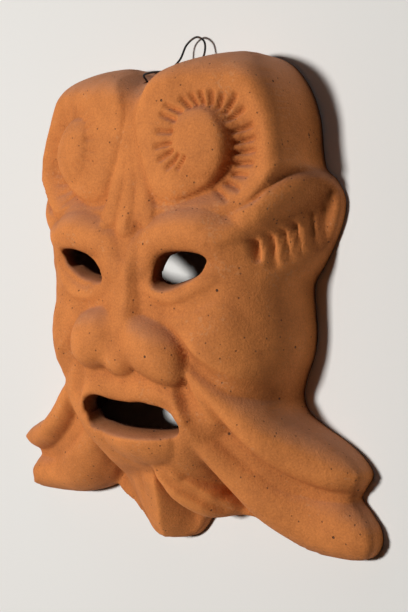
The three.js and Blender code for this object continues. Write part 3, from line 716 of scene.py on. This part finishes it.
def evened_front(x, y):
    """The front without its carving: smoothed on a coarse grid over AREA, then read from it bilinearly."""
    gx = np.arange(AREA[0], AREA[1] + 2 * RELIEF_CELL, RELIEF_CELL)
    gy = np.arange(AREA[2], AREA[3] + 2 * RELIEF_CELL, RELIEF_CELL)
    values = blurred(front(*np.meshgrid(gx, gy)), RELIEF_REACH)
    u, v = (x - AREA[0]) / RELIEF_CELL, (y - AREA[2]) / RELIEF_CELL
    i, j = np.floor(u).astype(int), np.floor(v).astype(int)
    u, v = u - i, v - j
    return ((values[j, i] * (1 - u) + values[j, i + 1] * u) * (1 - v)
            + (values[j + 1, i] * (1 - u) + values[j + 1, i + 1] * u) * v)


def unevenness(x, y, wavelength, rng):
    """Sum of sines in random directions near one wavelength, about 1 high."""
    total = np.zeros(x.shape)
    angles, stretches = rng.uniform(0, np.pi, WAVES), rng.uniform(*WAVE_STRETCH, WAVES)
    phases = rng.uniform(0, 2 * np.pi, WAVES)
    for angle, stretch, phase in zip(angles, stretches, phases):
        k = 2 * np.pi / (wavelength * stretch)
        total += np.sin(k * (x * np.cos(angle) + y * np.sin(angle)) + phase)
    return total / math.sqrt(WAVES)


def hollow(even, z, x, y, depth, rng):
    """The hollow's roof: a wall below the front, falling along a steep filleted slope to the flat rim."""
    height, wavelength = HOLLOW_WAVE
    roof = np.minimum(even, z + HOLLOW_RISE) - WALL + height * unevenness(x, y, wavelength, rng)
    slope = HOLLOW_SLOPE * (depth - RIM_WIDTH)
    roof = np.maximum(-blend(-roof, -slope, HOLLOW_FILLET), 0)
    return np.where(depth < RIM_WIDTH, 0, np.clip(roof, 0, np.maximum(z - THINNEST_WALL, 0)))


def mesh_object(name, vertices, faces, **attributes):
    """A smooth-shaded mesh object at the origin, from millimetres, with its attributes on the vertices."""
    mesh = bpy.data.meshes.new(name)
    mesh.vertices.add(len(vertices))
    mesh.vertices.foreach_set("co", (vertices * MM).astype(np.float32).ravel())
    mesh.loops.add(faces.size)
    mesh.loops.foreach_set("vertex_index", faces.astype(np.int32).ravel())
    mesh.polygons.add(len(faces))
    mesh.polygons.foreach_set("loop_start", np.arange(0, faces.size, faces.shape[1], dtype=np.int32))
    mesh.polygons.foreach_set("use_smooth", np.ones(len(faces), bool))
    mesh.update(calc_edges=True)
    mesh.validate()
    for key, values in attributes.items():
        mesh.attributes.new(key, "FLOAT", "POINT").data.foreach_set("value", values.astype(np.float32))
    piece = bpy.data.objects.new(name, mesh)
    bpy.context.scene.collection.objects.link(piece)
    return piece


def shell(outer, inner, triangles, loose):
    """One closed surface: the outer points, the inner ones with their faces turned round, and WALL_ROWS rows of
    faces between them along the loose edges. Gives the vertices, the faces and the points on those edges."""
    count = len(outer)
    border = np.unique(loose)
    where = np.full(count, -1)
    where[border] = np.arange(len(border))
    vertices = [outer, inner]
    faces = [triangles, triangles[:, ::-1] + count]
    rows = [np.arange(count)]
    for k in range(1, WALL_ROWS):
        share = k / WALL_ROWS
        vertices.append(outer[border] * (1 - share) + inner[border] * share)
        rows.append(2 * count + (k - 1) * len(border) + where)
    rows.append(np.arange(count) + count)
    a, b = loose.T
    for upper, lower in zip(rows, rows[1:]):
        faces += [np.stack([upper[b], upper[a], lower[a]], 1), np.stack([upper[b], lower[a], lower[b]], 1)]
    return np.concatenate(vertices), np.concatenate(faces), border


def terracotta_mask():
    """The front and the hollow over one set of triangles, joined by walls along the rim and the openings. The
    attribute relief is high on what stands out, and inner grows from 0 on the front to 1 in the hollow: both
    carry painted light and shade."""
    rim = rim_outline()
    openings = [curve(rows, OPENING_STEPS, closed=True) for rows in (EYE_RIGHT, EYE_LEFT, MOUTH)]

    def clay(x, y):
        return np.minimum.reduce([depth_in(x, y, rim)] + [-depth_in(x, y, opening) for opening in openings])

    points, triangles, loose = triangulate(clay, [rim] + openings)
    x, y = points.T
    depth = np.maximum(depth_in(x, y, rim), 0)
    lips = [nearest(x, y, opening, closed=True)[1] for opening in openings]
    lip = np.minimum.reduce(lips)
    rng = np.random.default_rng(SEED)

    even = evened_front(x, y)
    z = front(x, y)
    # How far the front stands out of its smoothed self; the clay's colour uses it for painted light and shade.
    relief = np.clip((z - even) / FULL_RELIEF, -1, 1)
    for height, wavelength in FRONT_WAVES:
        z = z + height * unevenness(x, y, wavelength, rng)
    z = z * edge_rounding(depth)
    z = z - LIP_DROP * LIP_ROUND * rounded(np.clip(1 - lip / LIP_ROUND, 0, 1))
    roof = hollow(even, z, x, y, depth, rng)

    behind = points.copy()
    for opening, distance, lift in zip(openings, lips, CUT_LIFT):
        lower_half = smooth(0, CUT_MIDDLE, opening[:, 1].mean() - y)
        behind[:, 1] += lift * (lower_half * (1 - smooth(0, CUT_REACH, distance)))

    outer, inner = np.column_stack([points, z]), np.column_stack([behind, roof])
    vertices, faces, border = shell(outer, inner, triangles, loose)
    in_opening = lip[border] < ON_EDGE
    shaded = [np.zeros(len(x)), np.ones(len(x))] + [in_opening * k / WALL_ROWS for k in range(1, WALL_ROWS)]
    raised = [relief, 0 * relief] + [relief[border]] * (WALL_ROWS - 1)
    values = dict(relief=np.concatenate(raised), inner=np.concatenate(shaded))
    return mesh_object("terracotta_mask", vertices, faces, **values)


def tube(points, radius, sides):
    """Rings round a path, each turned on from the last by the least angle, with a low cone on each end."""
    tangent = np.gradient(points, axis=0)
    tangent /= np.linalg.norm(tangent, axis=1)[:, None]
    side = np.cross(tangent[0], (0, 0, 1.0))
    sides_at = []
    for t in tangent:
        side = side - t * (side @ t)
        side /= np.linalg.norm(side)
        sides_at.append(side)
    across = np.array(sides_at)
    over = np.cross(tangent, across)
    angle = np.linspace(0, 2 * np.pi, sides, endpoint=False)[None, :, None]
    ring = radius * (np.cos(angle) * across[:, None] + np.sin(angle) * over[:, None])
    vertices = (points[:, None] + ring).reshape(-1, 3)
    i, j = np.meshgrid(np.arange(len(points) - 1), np.arange(sides), indexing="ij")
    a, b = (i * sides + j).ravel(), (i * sides + (j + 1) % sides).ravel()
    faces = [np.stack([a, b, b + sides], 1), np.stack([a, b + sides, a + sides], 1)]
    last = (len(points) - 1) * sides
    around = np.arange(sides)
    beside = (around + 1) % sides
    start, end = len(vertices), len(vertices) + 1
    faces.append(np.stack([np.full(sides, start), beside, around], 1))
    faces.append(np.stack([np.full(sides, end), last + around, last + beside], 1))
    out = TUBE_END * radius
    vertices = np.concatenate([vertices, points[:1] - out * tangent[:1], points[-1:] + out * tangent[-1:]])
    return vertices, np.concatenate(faces)


def wire_hoop():
    """A tube along the hoop's mirrored half and its right half, smoothed into one path."""
    right = np.array(WIRE, float)
    path = curve(np.concatenate([right[:0:-1] * (-1, 1, 1), right]), WIRE_STEPS)
    return tube(path, WIRE_RADIUS, WIRE_SIDES)


def bore_wire_holes(piece):
    """Cuts the two leaning holes for the wire through the crown of the shell."""
    lean = math.radians(WIRE_HOLE["lean"])
    drill = np.array([0, math.sin(lean), math.cos(lean)])
    for side in (1, -1):
        middle = np.array([side * WIRE_HOLE["x"], WIRE_HOLE["y"], WIRE_HOLE["z"]])
        ends = middle + np.linspace(-0.5, 0.5, 5)[:, None] * WIRE_HOLE["length"] * drill
        bit = mesh_object("bit", *tube(ends, WIRE_HOLE["radius"], WIRE_HOLE["sides"]))
        cut = piece.modifiers.new("bore", "BOOLEAN")
        cut.operation, cut.solver, cut.object = "DIFFERENCE", "MANIFOLD", bit
        bpy.context.view_layer.objects.active = piece
        bpy.ops.object.modifier_apply(modifier=cut.name)
        bpy.data.objects.remove(bit)


class Field:
    """A socket that takes part in arithmetic: each operator adds its Math node."""

    def __init__(self, finish, socket):
        self.finish, self.socket = finish, socket

    def math(self, operation, other):
        made = self.finish.add("ShaderNodeMath", {"operation": operation}, {0: self, 1: other})
        return self.finish.field(made, 0)

    def __add__(self, other):
        return self.math("ADD", other)

    def __sub__(self, other):
        return self.math("SUBTRACT", other)

    def __mul__(self, other):
        return self.math("MULTIPLY", other)

    def __rsub__(self, other):
        return self * -1 + other

    __radd__, __rmul__ = __add__, __mul__

    def between(self, low, high):
        """0 below low, 1 above high, eased between them."""
        made = self.finish.add("ShaderNodeMapRange", {"interpolation_type": "SMOOTHSTEP"},
                               {"Value": self, "From Min": low, "From Max": high})
        return self.finish.field(made, 0)


class Finish:
    """A material's nodes."""

    def __init__(self, name):
        self.material = bpy.data.materials.new(name)
        self.material.use_nodes = True
        self.tree = self.material.node_tree
        self.shader = self.tree.nodes["Principled BSDF"]
        self.coordinates = self.field(self.add("ShaderNodeTexCoord"), "Object")

    def field(self, node, output):
        return Field(self, node.outputs[output])

    def add(self, kind, settings=None, inputs=None):
        """A node with its settings, and its sockets set to values or linked to fields."""
        node = self.tree.nodes.new(kind)
        for key, value in (settings or {}).items():
            setattr(node, key, value)
        for key, value in (inputs or {}).items():
            self.feed(node.inputs[key], value)
        return node

    def feed(self, socket, value):
        """Links a field to a socket, or sets the socket to a value."""
        if isinstance(value, Field):
            self.tree.links.new(value.socket, socket)
        else:
            socket.default_value = value

    def set(self, **sockets):
        """Feeds the shader's sockets, each named with _ for a space."""
        for name, value in sockets.items():
            self.feed(self.shader.inputs[name.replace("_", " ")], value)

    def noise(self, size_mm, detail=2.0, rough=0.5):
        """Soft noise from 0 to 1 whose lumps are about size_mm wide."""
        made = self.add("ShaderNodeTexNoise", {}, {
            "Vector": self.coordinates, "Scale": 1 / (size_mm * MM), "Detail": detail, "Roughness": rough})
        return self.field(made, "Fac")

    def cells(self, size_mm, output="Distance"):
        """Distance to the nearest of scattered points about size_mm apart, in shares of that size."""
        made = self.add("ShaderNodeTexVoronoi", {}, {"Vector": self.coordinates, "Scale": 1 / (size_mm * MM)})
        return self.field(made, output)

    def attribute(self, name):
        """A value that the mesh holds on its vertices."""
        return self.field(self.add("ShaderNodeAttribute", {"attribute_name": name}), "Fac")

    def parts(self, vector):
        """The three values of a vector."""
        made = self.add("ShaderNodeSeparateXYZ", {}, {0: vector})
        return [self.field(made, k) for k in range(3)]

    def pits(self, size_mm, share, radius):
        """1 inside small round holes, in the given share of the cells."""
        spots = self.cells(size_mm)
        chance = self.parts(self.cells(size_mm, "Color"))[0]
        return (1 - spots.between(radius * 0.6, radius)) * chance.between(1 - share, 1 - share + 0.02)

    def mix(self, share, low, high):
        """Colour between low and high."""
        settings = {"data_type": "RGBA", "clamp_factor": True}
        return self.field(self.add("ShaderNodeMix", settings, {0: share, 6: low, 7: high}), 2)

    def bump(self, height_mm):
        """Tilts the normal as a surface of that height would."""
        made = self.add("ShaderNodeBump", {}, {"Height": height_mm, "Strength": 1.0, "Distance": MM})
        self.set(Normal=self.field(made, "Normal"))


def fired_clay():
    """Orange terracotta with sandy grain and pale grit. Painted light and shade: lighter where it stands out,
    darker in its grooves, its hollow and its pits, and a painted mauve skylight in patches where it faces the
    horns' end."""
    clay = Finish("fired_clay")
    grain = clay.noise(0.9, 3.0, 0.6)
    sand = clay.noise(0.32, 2.0)
    blotches = clay.noise(34, 4.0, 0.55)
    smudges = clay.noise(9, 3.0)
    relief = clay.attribute("relief")
    inner = clay.attribute("inner")
    up = clay.parts(clay.field(clay.add("ShaderNodeTexCoord"), "Normal"))[1]
    large, small = clay.pits(**LARGE_PITS), clay.pits(**SMALL_PITS)
    grit = (clay.noise(1.6, 2.0) * clay.noise(14, 2.0)).between(0.35, 0.44)
    lumps = clay.noise(3.5, 2.0)

    tone = 0.5 + (blotches - 0.5) * 0.7 + (smudges - 0.5) * 0.5 + (grain - 0.5) * 0.9 + (sand - 0.5) * 0.35
    # Painted light and shade: lighter where the front stands out, darker in its grooves.
    body = clay.mix(tone + relief * 0.22, DARK_CLAY, LIGHT_CLAY)
    # Painted skylight: mauve in patches on faces turned towards the horns' end, outside the hollow.
    painted_skylight = up.between(0.15, 0.95) * (smudges * 0.5 + blotches * 0.6) * (1 - inner)
    body = clay.mix(painted_skylight * 0.8, body, PAINTED_MAUVE_SKYLIGHT)
    # Painted shade: near black inside the pits, which the bump also sinks.
    body = clay.mix(large * 0.85 + small * 0.6, body, PAINTED_PIT_SHADE)
    body = clay.mix(grit * 0.2, body, PALE_GRIT)
    # Painted shade in the hollow, growing through the walls of the openings.
    body = clay.mix(inner * 0.85, body, PAINTED_HOLLOW_SHADE)
    clay.set(Base_Color=body, Roughness=0.84 + (grain - 0.5) * 0.16 - relief * 0.04, Specular_IOR_Level=0.3)
    clay.bump(grain * 0.24 + sand * 0.12 + lumps * 0.24 - large * 0.5 - small * 0.22 + inner * smudges * 0.6)
    return clay.material


def iron_wire():
    """Dark drawn iron with brown rust in patches."""
    iron = Finish("dark_iron_wire")
    rust = iron.noise(2.2, 3.0).between(0.5, 0.72)
    iron.set(Base_Color=iron.mix(rust, IRON, RUST), Roughness=0.42 + rust * 0.4, Metallic=0.85 - rust * 0.6)
    iron.bump(iron.noise(0.5, 2.0) * 0.05)
    return iron.material


def pale_floor():
    """Plain warm white, faintly mottled."""
    floor = Finish("pale_floor")
    floor.set(Base_Color=floor.mix(floor.noise(260, 2.0), FLOOR_GREY, FLOOR_WHITE), Roughness=0.9)
    return floor.material


def floor_sheet():
    """A square under the mask."""
    corners = np.array([[-1, -1, 0], [1, -1, 0], [1, 1, 0], [-1, 1, 0]]) * FLOOR_HALF / MM
    return mesh_object("floor", corners + (0, 0, FLOOR_LEVEL / MM), np.array([[0, 1, 2, 3]]))


def photograph_camera():
    """Looks down from above the viewer's right: turned by YAW about Y, raised by PITCH and rolled by ROLL."""
    back = Vector((math.sin(YAW) * math.cos(PITCH), math.sin(PITCH), math.cos(YAW) * math.cos(PITCH)))
    right = Vector((math.cos(YAW), 0, -math.sin(YAW)))
    up = back.cross(right)
    right, up = right * math.cos(ROLL) + up * math.sin(ROLL), up * math.cos(ROLL) - right * math.sin(ROLL)
    lens = bpy.data.cameras.new("camera")
    lens.lens, lens.sensor_width = FOCAL_PIXELS / PICTURE_HEIGHT * SENSOR, SENSOR
    lens.clip_start, lens.clip_end = 0.01, 50
    camera = bpy.data.objects.new("camera", lens)
    camera.matrix_world = Matrix([*zip(right, up, back, CAMERA_PLACE), (0, 0, 0, 1)])
    bpy.context.scene.collection.objects.link(camera)
    bpy.context.scene.camera = camera


def softbox(name, place, size, watts, tint):
    """A square light that faces the mask."""
    light = bpy.data.lights.new(name, "AREA")
    light.size, light.energy, light.color = size, watts, tint
    lamp = bpy.data.objects.new(name, light)
    lamp.location = place
    lamp.rotation_euler = (-Vector(place)).to_track_quat("-Z", "Y").to_euler()
    bpy.context.scene.collection.objects.link(lamp)


def studio_world():
    """A faint warm light from all sides."""
    world = bpy.data.worlds.new("studio")
    world.use_nodes = True
    background = world.node_tree.nodes["Background"]
    background.inputs["Color"].default_value = WORLD_TINT
    background.inputs["Strength"].default_value = WORLD_STRENGTH
    bpy.context.scene.world = world


# Pieces
mask = terracotta_mask()
bore_wire_holes(mask)
mask.data.materials.clear()
mask.data.materials.append(fired_clay())
mask.data.polygons.foreach_set("material_index", np.zeros(len(mask.data.polygons), np.int32))
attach(mask, "root")
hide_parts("mask")

hoop = mesh_object("hanging_wire_hoop", *wire_hoop())
hoop.data.materials.append(iron_wire())
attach(hoop, "root")
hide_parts("hanging_wire")

# Stage
floor = floor_sheet()
floor.data.materials.append(pale_floor())
photograph_camera()
softbox("key", place=(-0.375, 0.05, 1.34), size=0.18, watts=19, tint=(0.99, 0.98, 0.96))
softbox("sky", place=(0.0, 1.35, 0.5), size=0.8, watts=1.1, tint=(0.86, 0.91, 1.0))
studio_world()
bpy.context.scene.view_settings.view_transform = "Standard"
